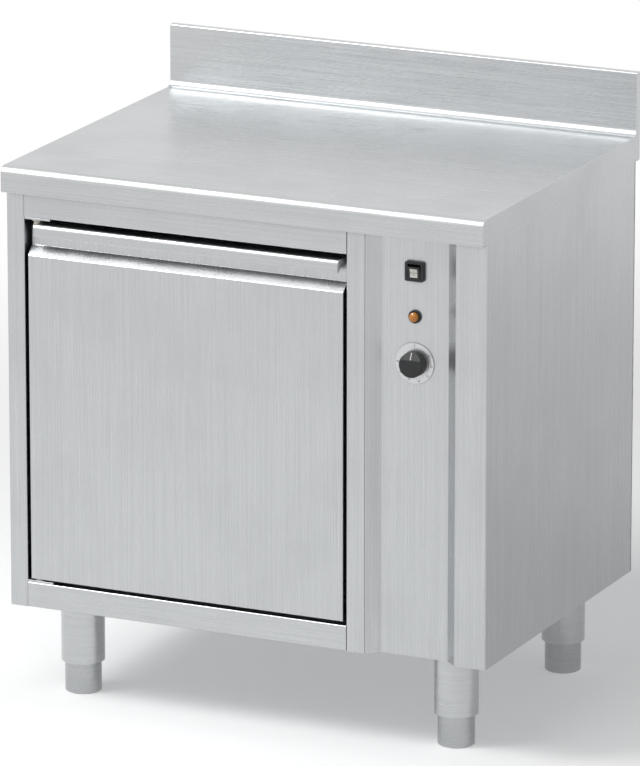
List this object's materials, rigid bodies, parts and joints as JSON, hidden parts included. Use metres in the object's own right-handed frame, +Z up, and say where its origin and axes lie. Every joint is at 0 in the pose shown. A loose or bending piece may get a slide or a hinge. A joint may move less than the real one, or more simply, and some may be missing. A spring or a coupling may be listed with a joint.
{
  "type": "plate warmer cabinet",
  "caption": "Heated single-door stainless cupboard for warming plates, with worktop, upstand, shelves, thermostat controls and levelling feet.",
  "frame": {"origin": "on the floor under the middle of the footprint", "axes": "+X to the viewer's right facing the door, +Y from the front to the back, +Z up"},
  "size_m": [0.8, 0.6, 0.95],
  "materials": {
    "stainless": "satin brushed stainless sheet",
    "bright_stainless": "bright annealed stainless",
    "galvanised_steel": "galvanised sheet",
    "mineral_wool": "matt fibrous slab",
    "chipboard": "raw board",
    "black_plastic": "fine grained black",
    "element_sheath": "heat-darkened sheath",
    "brass_fittings": "plain brass",
    "amber_lens": "clear amber",
    "silicone_rubber": "dark grey silicone",
    "white_nylon": "natural nylon"
  },
  "bodies": {
    "cabinet": {"worktop": "stainless", "worktop_core": "chipboard", "left_side_panel": "stainless", "right_side_panel": "stainless", "back_panel": "galvanised_steel", "base_panel": "galvanised_steel", "top_rail": "stainless", "bottom_rail": "stainless", "centre_stile": "stainless", "column_partition": "galvanised_steel", "control_panel": "stainless", "cavity_left_wall": "bright_stainless", "cavity_right_wall": "bright_stainless", "cavity_top": "bright_stainless", "cavity_floor": "bright_stainless", "cavity_back": "bright_stainless", "insulation_left": "mineral_wool", "insulation_right": "mineral_wool", "insulation_top": "mineral_wool", "insulation_bottom": "mineral_wool", "insulation_back": "mineral_wool", "left_runners": "bright_stainless", "right_runners": "bright_stainless", "upper_shelf": "bright_stainless", "lower_shelf": "bright_stainless", "element_guard": "bright_stainless", "heating_element": "element_sheath", "element_supports": "bright_stainless", "element_ferrules": "brass_fittings", "thermostat_bulb": "bright_stainless", "bulb_clips": "bright_stainless", "capillary_tube": "brass_fittings", "thermostat_body": "black_plastic", "dial_plate": "bright_stainless", "switch_housing": "black_plastic", "lamp_housing": "black_plastic", "lamp_lens": "amber_lens", "terminal_block": "white_nylon", "cable_gland": "black_plastic", "bonding_stud": "brass_fittings", "back_screws": "bright_stainless", "hinge_brackets": "bright_stainless", "magnet_catch": "black_plastic", "leg_fixings": "galvanised_steel", "legs": "bright_stainless"},
    "door": {"door_outer_skin": "stainless", "door_inner_skin": "bright_stainless", "door_insulation": "mineral_wool", "door_gasket": "silicone_rubber", "door_handle": "stainless", "door_bushes": "white_nylon", "door_hinge_block": "galvanised_steel", "catch_strike": "bright_stainless"},
    "knob": {"knob_shaft": "brass_fittings", "thermostat_knob": "black_plastic"},
    "rocker": {"switch_rocker": "black_plastic"},
    "foot_front_left": {"foot_front_left": "bright_stainless"},
    "foot_front_right": {"foot_front_right": "bright_stainless"},
    "foot_back_left": {"foot_back_left": "bright_stainless"},
    "foot_back_right": {"foot_back_right": "bright_stainless"}
  },
  "joints": [
    {"name": "door_hinge", "type": "hinge", "parent": "cabinet", "child": "door", "pos_m": [-0.3526, -0.272, 0.48], "axis": [0, 0, -1], "range_deg": [0, 110]},
    {"name": "knob_turn", "type": "hinge", "parent": "cabinet", "child": "knob", "pos_m": [0.275, -0.27, 0.61], "axis": [0, 1, 0], "range_deg": [0, 270]},
    {"name": "switch_rock", "type": "hinge", "parent": "cabinet", "child": "rocker", "pos_m": [0.275, -0.258, 0.752], "axis": [-1, 0, 0], "range_deg": [0, 16]},
    {"name": "foot_front_left_height", "type": "slide", "parent": "cabinet", "child": "foot_front_left", "axis": [0, 0, 1], "range_m": [-0.015, 0.015]},
    {"name": "foot_front_right_height", "type": "slide", "parent": "cabinet", "child": "foot_front_right", "axis": [0, 0, 1], "range_m": [-0.015, 0.015]},
    {"name": "foot_back_left_height", "type": "slide", "parent": "cabinet", "child": "foot_back_left", "axis": [0, 0, 1], "range_m": [-0.015, 0.015]},
    {"name": "foot_back_right_height", "type": "slide", "parent": "cabinet", "child": "foot_back_right", "axis": [0, 0, 1], "range_m": [-0.015, 0.015]}
  ]
}
